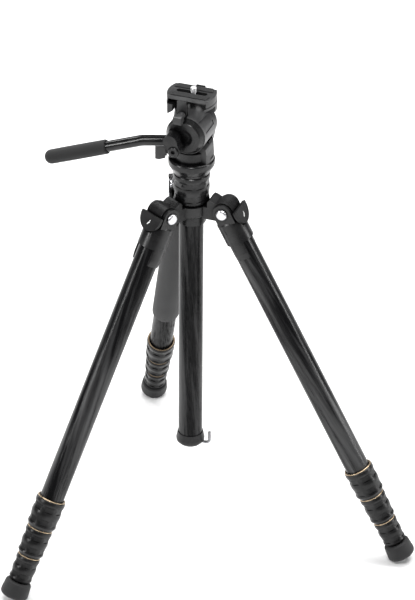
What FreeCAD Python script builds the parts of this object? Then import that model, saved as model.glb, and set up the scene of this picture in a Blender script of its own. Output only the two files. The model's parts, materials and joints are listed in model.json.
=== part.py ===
import FreeCAD, Part
import math
import os

import Sketcher
from FreeCAD import Placement, Rotation, Vector

# Travel tripod with a small fluid head. Millimetres and degrees.
# The part frame stands on the floor: +Z up, +X towards the front leg, origin at the centre of the base box.
# Heights of the shoulder, the column and the head are counted from the leg hinge level.
# Lengths along a leg are counted downwards from the hinge pin.
DIMENSIONS = {
    # overall layout
    "column_x": -58.0,
    "spread_angle": 28.0,
    "hinge_circle": 41.4,
    "leg_offset": 1.7,
    "running_gap": 0.06,
    "loose_gap": 0.3,
    # leg hinge
    "pin_radius": 4.0,
    "knuckle_radius": 12.3,
    "knuckle_half": 10.7,
    "ear_radius": 10.7,
    "ear_outer": 15.2,
    "bolt_head_radius": 6.4,
    "bolt_head_height": 3.2,
    "bolt_dome": 2.4,
    # leg casting, measured along the leg
    "casting_top": 9.0,
    "casting_floor": 13.3,
    "casting_radius": 16.5,
    "casting_end_radius": 15.6,
    "casting_front_end": 40.0,
    "casting_end": 59.5,
    "tongue_half": 8.0,
    "socket_depth": 24.0,
    # angle lock tab
    "tab_seat": 15.1,
    "tab_face": 15.4,
    "tab_thickness": 3.6,
    "tab_radius": 16.4,
    "tab_centre": 5.6,
    "tab_top": 2.5,
    "tab_stem_half": 6.1,
    "tab_stem_top": 13.7,
    "tab_stem_bottom": 21.2,
    "tab_stem_root": 7.5,
    # leg tubes and twist collars, outer radii and distances along the leg
    "tube_radius_1": 14.0,
    "tube_radius_2": 12.5,
    "tube_radius_3": 11.0,
    "tube_radius_4": 9.5,
    "tube_wall": 1.2,
    "tube_top_2": 62.0,
    "tube_top_3": 66.0,
    "tube_top_4": 70.0,
    "tube_in_collar": 17.0,
    "collar_top_1": 354.7,
    "collar_top_2": 392.9,
    "collar_top_3": 428.4,
    "collar_radius_1": 17.5,
    "collar_radius_2": 15.7,
    "collar_radius_3": 14.1,
    "collar_gap": 1.3,
    "scallop_depth": 1.6,
    # rubber foot
    "foot_top": 461.8,
    "foot_end": 481.5,
    "foot_top_radius": 15.3,
    "foot_radius": 16.4,
    "foot_round": 5.0,
    "foot_socket": 12.0,
    # foam leg grip
    "grip_top": 62.0,
    "grip_end": 287.0,
    "grip_radius": 16.5,
    "grip_round": 2.0,
    # shoulder casting
    "column_radius": 14.0,
    "column_wall": 1.6,
    "guide_gap": 0.1,
    "bushing_radius": 15.2,
    "neck_radius": 17.2,
    "neck_top": 22.0,
    "shoulder_radius": 20.8,
    "shoulder_top": 3.0,
    "shoulder_step": -9.0,
    "shoulder_bottom": -22.5,
    "skirt_radius": 16.8,
    # strap ring
    "ring_x": 24.0,
    "ring_pivot": 11.0,
    "ring_top": 28.0,
    "ring_half": 7.5,
    "ring_wire": 1.8,
    "ring_hole_radius": 1.4,
    "lug_half": 3.0,
    # column collar, column end cap and hook
    "collar_low": 3.4,
    "collar_high": 40.8,
    "column_collar_radius": 21.0,
    "column_top": 41.2,
    "column_end": -318.0,
    "cap_top": -310.8,
    "cap_widest": -319.5,
    "cap_bottom": -326.0,
    "cap_radius": 16.8,
    "cap_bottom_radius": 13.2,
    "hook_wire": 1.75,
    "hook_level": -323.2,
    "hook_reach": 24.0,
    "hook_tip": -308.0,
    "hook_bend": 5.0,
    "hook_post_top": -296.0,
    "hook_stop_radius": 4.5,
    # head base and pan stage
    "stud_radius": 4.7,
    "plate_low_radius": 20.6,
    "plate_high_radius": 25.2,
    "plate_top": 49.8,
    "flange_radius": 26.3,
    "flange_top": 59.0,
    "flange_chamfer": 1.4,
    "spindle_radius": 7.0,
    "pan_low": 59.3,
    "pan_top": 72.2,
    "pan_radius": 20.2,
    "yoke_radius": 25.0,
    "yoke_top": 76.5,
    "yoke_front": -12.4,
    "tilt_height": 95.4,
    "arm_inner": 12.3,
    "arm_outer": 21.0,
    "arm_radius": 22.5,
    "axle_radius": 6.0,
    # tilt drum and hub
    "drum_radius": 22.8,
    "drum_near": -20.0,
    "drum_far": 12.0,
    "rim_radius": 31.8,
    "rim_near": -1.0,
    "rim_far": 1.5,
    "rim_from": 50.0,
    "hub_depth": 6.0,
    "hub_front_radius": 18.7,
    "hub_dish_radius": 10.0,
    # handle, in the tilt frame
    "bracket_near": -41.2,
    "bracket_far": -26.0,
    "bracket_radius": 8.2,
    "bracket_x": -11.0,
    "boss_x": -6.6,
    "boss_z": -10.6,
    "boss_radius": 7.4,
    "handle_y": -33.9,
    "handle_start_x": -7.0,
    "handle_start_z": 0.3,
    "handle_dip": 11.0,
    "handle_bend": 10.1,
    "handle_bend_radius": 45.0,
    "handle_first_run": 40.1,
    "handle_second_run": 114.0,
    "handle_tube_radius": 6.2,
    "handle_grip_from": 44.2,
    "handle_grip_length": 79.7,
    "handle_grip_radius": 8.25,
    # quick release clamp and plate, heights from the hinge level
    "clamp_low": 115.4,
    "clamp_ledge": 119.8,
    "clamp_top": 131.3,
    "clamp_half_length": 27.8,
    "clamp_half_width": 19.4,
    "corner_x": 21.5,
    "recess_half": 21.3,
    "recess_left": -16.0,
    "jaw_half": 13.5,
    "jaw_left": -10.5,
    "jaw_right": 0.5,
    "jaw_inner": 15.0,
    "jaw_low": 118.0,
    "jaw_top": 137.0,
    "jaw_travel": 2.0,
    "clamp_knob_x": -4.0,
    "clamp_knob_z": 121.4,
    "plate_half_length": 27.5,
    "plate_half_width": 18.4,
    "plate_low": 131.6,
    "plate_flange": 137.3,
    "plate_high": 140.0,
    "dovetail_half": 10.5,
    "waist_half": 8.6,
    "plate_chamfer": 3.9,
    "slot_half": 18.0,
    "slot_radius": 3.3,
    "pad_thickness": 1.0,
    "screw_x": 2.0,
    "screw_radius": 3.175,
    "screw_neck": 2.5,
    "screw_top": 146.8,
    "screw_head_radius": 6.2,
    # wing knobs
    "pan_knob_turn": 199.6,
    "pan_knob_height": 65.3,
    "pan_knob_from": 27.5,
}

LEG_TURNS = {"leg_a": 0.0, "leg_b": 120.0, "leg_c": 240.0}
GRIP_LEG = "leg_b"
Y_AXIS = Vector(0, 1, 0)
Z_AXIS = Vector(0, 0, 1)
ALONG_PLUS_Y = Rotation(Vector(1, 0, 0), -90)
ALONG_MINUS_Y = Rotation(Vector(1, 0, 0), 90)


class Size:
    """A length or angle that knows its number and the sheet formula it comes from."""

    def __init__(self, number, formula):
        self.number = number
        self.formula = formula

    def join(self, sign, other, number):
        return Size(number, f"({self.formula} {sign} {formula_of(other)})")

    def __add__(self, other):
        return self.join("+", other, self.number + number_of(other))

    def __sub__(self, other):
        return self.join("-", other, self.number - number_of(other))

    def __mul__(self, other):
        return self.join("*", other, self.number * number_of(other))

    def __truediv__(self, other):
        return self.join("/", other, self.number / number_of(other))

    def __neg__(self):
        return Size(-self.number, f"(-1 * {self.formula})")


def number_of(value):
    return value.number if isinstance(value, Size) else float(value)


def formula_of(value):
    return value.formula if isinstance(value, Size) else f"{value:g}"


class Sheet:
    """The driving dimensions: a spreadsheet, read back as Size attributes."""

    def __init__(self, doc):
        cells = doc.addObject("Spreadsheet::Sheet", "Dimensions")
        for row, (alias, value) in enumerate(DIMENSIONS.items(), start=1):
            cells.set(f"A{row}", alias)
            cells.set(f"B{row}", str(value))
            cells.setAlias(f"B{row}", alias)
            setattr(self, alias, Size(value, f"Dimensions.{alias}"))


# ---------------------------------------------------------------- feature helpers

def bind(feature, **sizes):
    """Give each property its number and tie it to the sheet."""
    for name, value in sizes.items():
        setattr(feature, name, number_of(value))
        if isinstance(value, Size):
            feature.setExpression(name, value.formula)


def new_body(doc, label):
    body = doc.addObject("PartDesign::Body", label)
    body.Label = label
    return body


def origin_feature(body, role):
    return next(item for item in body.Origin.OriginFeatures if item.Role == role)


def new_sketch(body, name, plane, offset=0):
    """A sketch on one of the body's own origin planes, moved along that plane's normal by offset."""
    sketch = body.newObject("Sketcher::SketchObject", name)
    sketch.AttachmentSupport = [(origin_feature(body, plane), "")]
    sketch.MapMode = "FlatFace"
    sketch.AttachmentOffset = Placement(Vector(0, 0, number_of(offset)), Rotation())
    if isinstance(offset, Size):
        sketch.setExpression("AttachmentOffset.Base.z", offset.formula)
    return sketch


def place_point(sketch, geometry, point, x, y):
    """Hold a sketch point at (x, y) from the sketch origin."""
    for kind, value, axis in (("DistanceX", x, -2), ("DistanceY", y, -1)):
        if number_of(value) == 0:
            sketch.addConstraint(Sketcher.Constraint("PointOnObject", geometry, point, axis))
            continue
        index = sketch.addConstraint(Sketcher.Constraint(kind, -1, 1, geometry, point, number_of(value)))
        if isinstance(value, Size):
            sketch.setExpression(f"Constraints[{index}]", value.formula)


def draw_polygon(sketch, corners):
    points = [Vector(number_of(x), number_of(y), 0) for x, y in corners]
    first = sketch.GeometryCount
    count = len(corners)
    for start, end in zip(points, points[1:] + points[:1]):
        sketch.addGeometry(Part.LineSegment(start, end), False)
    for index in range(count):
        following = first + (index + 1) % count
        sketch.addConstraint(Sketcher.Constraint("Coincident", first + index, 2, following, 1))
    for index, (x, y) in enumerate(corners):
        place_point(sketch, first + index, 1, x, y)


def draw_circle(sketch, x, y, radius):
    centre = Vector(number_of(x), number_of(y), 0)
    index = sketch.addGeometry(Part.Circle(centre, Vector(0, 0, 1), number_of(radius)), False)
    place_point(sketch, index, 3, x, y)
    datum = sketch.addConstraint(Sketcher.Constraint("Radius", index, number_of(radius)))
    if isinstance(radius, Size):
        sketch.setExpression(f"Constraints[{datum}]", radius.formula)


def draw_d_ended(sketch, half_length, half_width, corner_x):
    """A bar with straight sides and a shallow arc across each end."""
    rise = half_length - corner_x
    radius = (rise * rise + half_width * half_width) / (rise * 2)
    length, width, corner = (number_of(value) for value in (half_length, half_width, corner_x))
    right = Part.Arc(Vector(corner, -width, 0), Vector(length, 0, 0), Vector(corner, width, 0))
    left = Part.Arc(Vector(-corner, width, 0), Vector(-length, 0, 0), Vector(-corner, -width, 0))
    top = Part.LineSegment(Vector(corner, width, 0), Vector(-corner, width, 0))
    bottom = Part.LineSegment(Vector(-corner, -width, 0), Vector(corner, -width, 0))
    for geometry in (right, top, left, bottom):
        sketch.addGeometry(geometry, False)
    for index in range(4):
        sketch.addConstraint(Sketcher.Constraint("Coincident", index, 2, (index + 1) % 4, 1))
    place_point(sketch, 1, 1, corner_x, half_width)
    place_point(sketch, 1, 2, -corner_x, half_width)
    place_point(sketch, 3, 1, -corner_x, -half_width)
    place_point(sketch, 3, 2, corner_x, -half_width)
    for index in (0, 2):
        datum = sketch.addConstraint(Sketcher.Constraint("Radius", index, number_of(radius)))
        sketch.setExpression(f"Constraints[{datum}]", radius.formula)


def extrude(body, kind, sketch, length, both_ways=False):
    """Pad or Pocket a sketch; both_ways spreads the length evenly about the sketch plane."""
    feature = body.newObject(f"PartDesign::{kind}", f"{sketch.Name}_{kind}")
    feature.Profile = sketch
    feature.SideType = "Symmetric" if both_ways else "One side"
    bind(feature, Length=length)
    return feature


def slab(body, kind, name, plane, corners, middle, length):
    """Pad or Pocket a polygon, spread evenly about the plane moved to middle."""
    sketch = new_sketch(body, name, plane, middle)
    draw_polygon(sketch, corners)
    return extrude(body, kind, sketch, length, both_ways=True)


def disc(body, kind, name, plane, centre, radius, middle, length):
    """Pad or Pocket a circle, spread evenly about the plane moved to middle."""
    sketch = new_sketch(body, name, plane, middle)
    draw_circle(sketch, centre[0], centre[1], radius)
    return extrude(body, kind, sketch, length, both_ways=True)


def rectangle(left, right, bottom, top):
    return [(left, bottom), (right, bottom), (right, top), (left, top)]


def turned(doc, label, outline):
    """A body turned about its own Z axis from an outline of (radius, height) corners."""
    body = new_body(doc, label)
    sketch = new_sketch(body, f"{label}_outline", "XZ_Plane")
    draw_polygon(sketch, outline)
    feature = body.newObject("PartDesign::Revolution", f"{label}_turn")
    feature.Profile = sketch
    feature.ReferenceAxis = (sketch, ["V_Axis"])
    feature.Angle = 360
    return body


def around_z(body, features, count):
    """Repeat features evenly about the body's Z axis."""
    pattern = body.newObject("PartDesign::PolarPattern", f"{body.Name}_pattern")
    pattern.Originals = features
    pattern.Axis = (origin_feature(body, "Z_Axis"), [""])
    pattern.Angle = 360
    pattern.Occurrences = count
    body.Tip = pattern


def round_edges(doc, body, radius, chosen):
    """Fillet the edges of the body's tip whose bounding box passes the chosen test."""
    doc.recompute()
    tip = body.Tip
    names = [f"Edge{index}" for index, edge in enumerate(tip.Shape.Edges, start=1)
             if chosen(edge.BoundBox)]
    feature = body.newObject("PartDesign::Fillet", f"{body.Name}_round")
    feature.Base = (tip, names)
    bind(feature, Radius=radius)


def flat_at(height):
    """Chooses edges that lie level at a height."""
    level = number_of(height)
    return lambda box: abs(box.ZMin - level) < 1e-3 and abs(box.ZMax - level) < 1e-3


def bent_rod(doc, label, radius, runs, turn, bend_radius):
    """A round rod along Z that bends by turn degrees towards -X between its two straight runs."""
    angle = math.radians(number_of(turn))
    first, second = (number_of(run) for run in runs)
    bend = number_of(bend_radius)
    tangent = bend * math.tan(angle / 2)
    start = Vector(0, 0, 0)
    bend_start = Vector(0, first - tangent, 0)
    centre = bend_start + Vector(-bend, 0, 0)
    halfway = centre + Vector(bend * math.cos(angle / 2), bend * math.sin(angle / 2), 0)
    bend_end = centre + Vector(bend * math.cos(angle), bend * math.sin(angle), 0)
    onwards = Vector(-math.sin(angle), math.cos(angle), 0)
    end = bend_end + onwards * (second - tangent)
    body = new_body(doc, label)
    spine = new_sketch(body, f"{label}_spine", "XZ_Plane")
    spine.addGeometry(Part.LineSegment(start, bend_start), False)
    spine.addGeometry(Part.Arc(bend_start, halfway, bend_end), False)
    spine.addGeometry(Part.LineSegment(bend_end, end), False)
    profile = new_sketch(body, f"{label}_profile", "XY_Plane")
    draw_circle(profile, 0, 0, radius)
    pipe = body.newObject("PartDesign::AdditivePipe", f"{label}_pipe")
    pipe.Profile = profile
    pipe.Spine = spine
    return body


# ---------------------------------------------------------------- places

def at(x=0, y=0, z=0, rotation=None):
    place = Vector(number_of(x), number_of(y), number_of(z))
    return Placement(place, rotation or Rotation())


def hinge_height(d):
    """Height of the hinge pins that puts the rounded inner edge of each foot on the floor."""
    angle = math.radians(d.spread_angle.number)
    along = d.foot_end.number - d.foot_round.number
    across = d.foot_radius.number - d.foot_round.number + d.leg_offset.number
    return along * math.cos(angle) + across * math.sin(angle) + d.foot_round.number


class Places:
    """The frames that the sub-parts are built in."""

    def __init__(self, d):
        self.shoulder = at(d.column_x, 0, hinge_height(d))
        self.tilt = self.shoulder * at(0, 0, d.tilt_height)
        self.legs = {name: self.leg(d, turn) for name, turn in LEG_TURNS.items()}

    def hinge(self, d, turn):
        return self.shoulder * at(rotation=Rotation(Z_AXIS, turn)) * at(d.hinge_circle)

    def leg(self, d, turn):
        """Z runs up the tube axis, X points out of the tripod, and the pin is leg_offset along X."""
        lean = at(rotation=Rotation(Y_AXIS, -d.spread_angle.number))
        return self.hinge(d, turn) * lean * at(-d.leg_offset)


# ---------------------------------------------------------------- legs

def leg_casting(doc, d, label):
    """Top of a leg: two ears about the hinge pin, a socket for the tube and two side tongues."""
    body = turned(doc, label, [
        (0, -d.casting_top),
        (d.casting_radius - 3.5, -d.casting_top),
        (d.casting_radius, -d.casting_top - 5),
        (d.casting_radius, -d.casting_end + 7.5),
        (d.casting_end_radius, -d.casting_end),
        (d.tube_radius_1, -d.casting_end),
        (d.tube_radius_1, -d.socket_depth),
        (0, -d.socket_depth),
    ])
    disc(body, "Pad", f"{label}_ears", "XZ_Plane", (d.leg_offset, 0), d.ear_radius, 0, d.ear_outer * 2)
    cheeks = rectangle(d.leg_offset - d.ear_radius, d.leg_offset + d.ear_radius, -d.casting_floor - 1, 0)
    slab(body, "Pad", f"{label}_cheeks", "XZ_Plane", cheeks, 0, d.ear_outer * 2)
    fork = rectangle(-d.casting_radius - 5, d.casting_radius + 5, -d.casting_floor, d.ear_radius + 5)
    slab(body, "Pocket", f"{label}_fork", "XZ_Plane", fork, 0, (d.knuckle_half + d.loose_gap) * 2)
    disc(body, "Pocket", f"{label}_bore", "XZ_Plane", (d.leg_offset, 0), d.pin_radius + d.running_gap,
         0, d.ear_outer * 4)
    for side, name in ((1, "front"), (-1, "back")):
        near, far = d.tongue_half * side, (d.casting_radius + 4) * side
        relief = rectangle(near, far, -d.casting_end - 2, -d.casting_front_end)
        slab(body, "Pocket", f"{label}_{name}_relief", "XZ_Plane", relief, 0, d.casting_radius * 3)
    seat = rectangle(d.tab_seat, d.casting_radius + 5, -d.tab_stem_bottom - 2, -d.tab_top)
    slab(body, "Pocket", f"{label}_tab_seat", "XZ_Plane", seat, 0, d.casting_radius * 3)
    guide = rectangle(d.tab_stem_root - 1, d.casting_radius + 5,
                      -d.tab_stem_bottom - d.loose_gap, -d.casting_top)
    slab(body, "Pocket", f"{label}_tab_guide", "XZ_Plane", guide, 0, (d.tab_stem_half + d.loose_gap) * 2)
    return body


def lock_tab(doc, d, label):
    """D-shaped pull tab that sets the leg angle, with a stem that slides into the casting."""
    body = new_body(doc, label)
    face = d.tab_face + d.tab_thickness / 2
    disc(body, "Pad", f"{label}_plate", "YZ_Plane", (0, -d.tab_centre), d.tab_radius, face, d.tab_thickness)
    above = rectangle(-d.tab_radius - 2, d.tab_radius + 2, -d.tab_top, d.tab_radius + 2)
    slab(body, "Pocket", f"{label}_top_edge", "YZ_Plane", above, face, d.tab_thickness * 2)
    stem = rectangle(-d.tab_stem_half, d.tab_stem_half, -d.tab_stem_bottom, -d.tab_stem_top)
    middle = (d.tab_stem_root + d.tab_face + 1) / 2
    slab(body, "Pad", f"{label}_stem", "YZ_Plane", stem, middle, d.tab_face + 1 - d.tab_stem_root)
    return body


def leg_tube(doc, d, label, radius, top, end):
    inner = radius - d.tube_wall
    return turned(doc, label, [(inner, -top), (radius, -top), (radius, -end), (inner, -end)])


def scalloped_collar(doc, d, label, sizes):
    """A twist collar with a waved outside, two rows of flat scallops and a stepped bore."""
    radius, top, length, upper_bore, lower_bore, step, flats = sizes
    outside = [(0.0, 2.0), (0.05, 0.4), (0.14, 0.0), (0.3, 1.2), (0.5, 0.2), (0.75, 1.3), (0.9, 0.5), (1.0, 2.4)]
    outline = [(radius - cut, top - length * share) for share, cut in outside]
    outline += [(lower_bore, top - length), (lower_bore, top - step), (upper_bore, top - step),
                (upper_bore, top)]
    body = turned(doc, label, outline)
    row = new_sketch(body, f"{label}_scallops", "XZ_Plane")
    for low, high in ((0.4, 0.2), (0.84, 0.64)):
        draw_polygon(row, rectangle(radius - d.scallop_depth, radius + 4,
                                    top - length * low, top - length * high))
    cut = extrude(body, "Pocket", row, radius * 3, both_ways=True)
    around_z(body, [cut], flats)
    return body


def foot(doc, d, label):
    """Rubber foot, flared towards a rounded sole."""
    socket = d.foot_top + d.foot_socket
    body = turned(doc, label, [
        (0, -d.foot_end),
        (d.foot_radius, -d.foot_end),
        (d.foot_radius, -d.foot_end + 6.5),
        (d.foot_top_radius, -d.foot_top - 1.5),
        (d.foot_top_radius - 1.2, -d.foot_top),
        (d.tube_radius_4, -d.foot_top),
        (d.tube_radius_4, -socket),
        (0, -socket),
    ])
    round_edges(doc, body, d.foot_round, flat_at(-d.foot_end))
    return body


def leg_grip(doc, d, label):
    """Foam sleeve over the top tube of one leg."""
    inner = d.tube_radius_1
    body = turned(doc, label, [(inner, -d.grip_top), (d.grip_radius, -d.grip_top),
                               (d.grip_radius, -d.grip_end), (inner, -d.grip_end)])
    low, high, edge = -d.grip_end.number, -d.grip_top.number, d.grip_radius.number
    round_edges(doc, body, d.grip_round,
                lambda box: (flat_at(low)(box) or flat_at(high)(box)) and box.XMax > edge - 0.1)
    return body


def make_leg(doc, d, name):
    parts = {
        f"{name}_casting": leg_casting(doc, d, f"{name}_casting"),
        f"{name}_lock_tab": lock_tab(doc, d, f"{name}_lock_tab"),
        f"{name}_foot": foot(doc, d, f"{name}_foot"),
    }
    radii = [d.tube_radius_1, d.tube_radius_2, d.tube_radius_3, d.tube_radius_4]
    collar_tops = [d.collar_top_1, d.collar_top_2, d.collar_top_3]
    collar_radii = [d.collar_radius_1, d.collar_radius_2, d.collar_radius_3]
    tops = [d.socket_depth, d.tube_top_2, d.tube_top_3, d.tube_top_4]
    ends = [top + d.tube_in_collar for top in collar_tops] + [d.foot_top + d.foot_socket]
    for number, (radius, top, end) in enumerate(zip(radii, tops, ends), start=1):
        label = f"{name}_tube_{number}"
        parts[label] = leg_tube(doc, d, label, radius, top, end)
    below = collar_tops[1:] + [d.foot_top]
    for index in range(3):
        label = f"{name}_collar_{index + 1}"
        length = below[index] - collar_tops[index] - d.collar_gap
        sizes = (collar_radii[index], -collar_tops[index], length, radii[index] + d.loose_gap,
                 radii[index + 1] + d.loose_gap, d.tube_in_collar + 0.6, 7)
        parts[label] = scalloped_collar(doc, d, label, sizes)
    if name == GRIP_LEG:
        parts["leg_grip"] = leg_grip(doc, d, "leg_grip")
    return parts


# ---------------------------------------------------------------- shoulder

def spider(doc, d):
    """Shoulder casting: a sleeve for the column, three arms with hinge knuckles and a strap lug."""
    body = turned(doc, "spider", [
        (d.bushing_radius, d.shoulder_bottom),
        (d.skirt_radius, d.shoulder_bottom),
        (d.skirt_radius, d.shoulder_step - 3),
        (d.shoulder_radius, d.shoulder_step),
        (d.shoulder_radius, d.shoulder_top),
        (d.neck_radius, d.shoulder_top),
        (d.neck_radius, d.neck_top),
        (d.bushing_radius, d.neck_top),
    ])
    clear = d.column_collar_radius + 1.2
    lug_x = d.ring_x + 1.9
    lug = [(-d.skirt_radius - 1, d.shoulder_step + 1), (-lug_x, d.shoulder_step + 1),
           (-lug_x, d.ring_pivot + 1.9), (-clear, d.ring_pivot + 1.9),
           (-clear, d.shoulder_top), (-d.skirt_radius - 1, d.shoulder_top)]
    slab(body, "Pad", "spider_lug", "XZ_Plane", lug, 0, d.lug_half * 2)
    disc(body, "Pocket", "spider_lug_hole", "XZ_Plane", (-d.ring_x, d.ring_pivot), d.ring_hole_radius,
         0, d.lug_half * 3)
    arm = [(d.skirt_radius - 0.6, -d.knuckle_radius), (d.hinge_circle, -d.knuckle_radius),
           (d.hinge_circle + 4, 0), (d.hinge_circle - 8.5, 8.6), (d.hinge_circle - 13.5, 11.4),
           (d.hinge_circle - 17, 12), (clear, 9.5), (clear, d.shoulder_top),
           (d.skirt_radius - 0.6, d.shoulder_top)]
    web = slab(body, "Pad", "spider_arm", "XZ_Plane", arm, 0, d.knuckle_half * 2)
    knuckle = disc(body, "Pad", "spider_knuckle", "XZ_Plane", (d.hinge_circle, 0), d.knuckle_radius,
                   0, d.knuckle_half * 2)
    bore = disc(body, "Pocket", "spider_bore", "XZ_Plane", (d.hinge_circle, 0), d.pin_radius,
                0, d.knuckle_half * 3)
    around_z(body, [web, knuckle, bore], 3)
    return body


def hinge_bolts(doc, d, places):
    """Three domed hinge bolts, one per leg, kept together as one group of fasteners."""
    edge = d.ear_outer + 0.1
    tip = edge + d.bolt_head_height
    bolts = []
    for name, turn in LEG_TURNS.items():
        bolt = turned(doc, f"bolt_{name}", [
            (0, -tip), (d.bolt_head_radius, -tip), (d.bolt_head_radius, -edge), (d.pin_radius, -edge),
            (d.pin_radius, edge), (d.bolt_head_radius, edge), (d.bolt_head_radius, tip), (0, tip)])
        low, high = flat_at(-tip), flat_at(tip)
        round_edges(doc, bolt, d.bolt_dome, lambda box: low(box) or high(box))
        bolt.Placement = places.hinge(d, turn) * at(rotation=ALONG_PLUS_Y)
        bolts.append(bolt)
    group = doc.addObject("Part::Compound", "hinge_bolts")
    group.Label = "hinge_bolts"
    group.Links = bolts
    return group


def column_bushing(doc, d):
    bore = d.column_radius + d.guide_gap
    return turned(doc, "column_bushing", [(bore, d.shoulder_bottom), (d.bushing_radius, d.shoulder_bottom),
                                          (d.bushing_radius, d.neck_top), (bore, d.neck_top)])


def strap_ring(doc, d):
    """Flat wire loop that hinges in the lug behind the shoulder."""
    body = new_body(doc, "strap_ring")
    wire = d.ring_wire
    low = d.ring_pivot - wire / 2
    outer = rectangle(-d.ring_half, d.ring_half, low, d.ring_top)
    slab(body, "Pad", "ring_outside", "YZ_Plane", outer, -d.ring_x, wire)
    inner = rectangle(-d.ring_half + wire, d.ring_half - wire, low + wire, d.ring_top - wire)
    slab(body, "Pocket", "ring_inside", "YZ_Plane", inner, -d.ring_x, wire * 2)
    half, top = d.ring_half.number, d.ring_top.number
    round_edges(doc, body, wire * 1.5,
                lambda box: box.YLength < 1e-3 and box.ZLength < 1e-3
                and abs(abs(box.YMin) - half) < 1e-3 and box.ZMin > top - 1)
    return body


# ---------------------------------------------------------------- column

def column_collar(doc, d):
    """Twist collar that clamps the column, screwed over the neck of the shoulder."""
    sizes = (d.column_collar_radius, d.collar_high, d.collar_high - d.collar_low,
             d.column_radius + d.loose_gap, d.neck_radius + d.loose_gap,
             d.collar_high - d.neck_top - 1.5, 9)
    return scalloped_collar(doc, d, "column_collar", sizes)


def column_tube(doc, d):
    inner = d.column_radius - d.column_wall
    return turned(doc, "column_tube", [(inner, d.column_end), (d.column_radius, d.column_end),
                                       (d.column_radius, d.column_top), (inner, d.column_top)])


def column_cap(doc, d):
    """End cap of the column, with a groove that the hook nests in."""
    post = d.hook_wire + d.loose_gap
    body = turned(doc, "column_cap", [
        (post, d.cap_bottom), (d.cap_bottom_radius, d.cap_bottom),
        (d.cap_radius - 0.4, d.cap_widest - 3), (d.cap_radius, d.cap_widest),
        (d.column_radius + 0.9, d.cap_top), (d.column_radius, d.cap_top),
        (d.column_radius, d.column_end), (post, d.column_end)])
    groove = rectangle(0, d.cap_radius + 4, d.cap_bottom - 1, d.hook_level + d.hook_wire + 0.4)
    slab(body, "Pocket", "cap_groove", "XZ_Plane", groove, 0, (d.hook_wire + 0.35) * 2)
    return body


def weight_hook(doc, d):
    """Sprung wire hook: a post up the column with a stop, an arm under the cap and an upturned tip."""
    wire, reach, bend = d.hook_wire.number, d.hook_reach.number, d.hook_bend.number
    level, tip, top = d.hook_level.number, d.hook_tip.number, d.hook_post_top.number
    small = wire + 1.0
    half = math.sqrt(0.5)
    body = new_body(doc, "weight_hook")
    spine = new_sketch(body, "hook_spine", "XZ_Plane")
    elbow = Vector(small, level + small, 0)
    corner = Vector(reach - bend, level + bend, 0)
    spine.addGeometry(Part.LineSegment(Vector(0, top, 0), Vector(0, level + small, 0)), False)
    spine.addGeometry(Part.Arc(Vector(0, level + small, 0), elbow + Vector(-half, -half, 0) * small,
                               Vector(small, level, 0)), False)
    spine.addGeometry(Part.LineSegment(Vector(small, level, 0), Vector(reach - bend, level, 0)), False)
    spine.addGeometry(Part.Arc(Vector(reach - bend, level, 0), corner + Vector(half, -half, 0) * bend,
                               Vector(reach, level + bend, 0)), False)
    spine.addGeometry(Part.LineSegment(Vector(reach, level + bend, 0), Vector(reach, tip, 0)), False)
    profile = new_sketch(body, "hook_profile", "XY_Plane", d.hook_post_top)
    draw_circle(profile, 0, 0, d.hook_wire)
    pipe = body.newObject("PartDesign::AdditivePipe", "hook_pipe")
    pipe.Profile = profile
    pipe.Spine = spine
    disc(body, "Pad", "hook_stop", "XY_Plane", (0, 0), d.hook_stop_radius, d.hook_post_top, 2)
    return body


def column_plate(doc, d):
    """Plug, flared plate and stud on top of the column."""
    plug = d.column_radius - d.column_wall
    return turned(doc, "column_plate", [
        (0, d.column_top - 22), (plug, d.column_top - 22), (plug, d.column_top),
        (d.plate_low_radius, d.column_top), (d.plate_low_radius + 0.6, d.column_top + 2.4),
        (d.plate_low_radius + 2, d.column_top + 3.6), (d.plate_high_radius, d.plate_top),
        (d.stud_radius, d.plate_top), (d.stud_radius, d.plate_top + 5), (0, d.plate_top + 5)])


def head_base(doc, d):
    """Fixed flange of the head, screwed on the column stud."""
    edge = d.flange_chamfer
    return turned(doc, "head_base", [
        (d.stud_radius, d.plate_top), (d.flange_radius - 0.8, d.plate_top), (d.flange_radius, d.plate_top + 2.2),
        (d.flange_radius, d.flange_top - edge), (d.flange_radius - edge, d.flange_top),
        (d.spindle_radius, d.flange_top), (d.spindle_radius, d.plate_top + 5),
        (d.stud_radius, d.plate_top + 5)])


def pan_spindle(doc, d):
    low, high = d.plate_top + 5, d.pan_top - 2.4
    return turned(doc, "pan_spindle", [(0, low), (d.spindle_radius, low), (d.spindle_radius, high), (0, high)])


# ---------------------------------------------------------------- pan stage

def pan_base(doc, d):
    bore = d.spindle_radius + d.running_gap
    roof = d.pan_top - 2.2
    return turned(doc, "pan_base", [
        (bore, d.pan_low), (d.pan_radius, d.pan_low), (d.pan_radius, d.pan_top - 1), (d.pan_radius - 1, d.pan_top),
        (0, d.pan_top), (0, roof), (bore, roof)])


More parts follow.
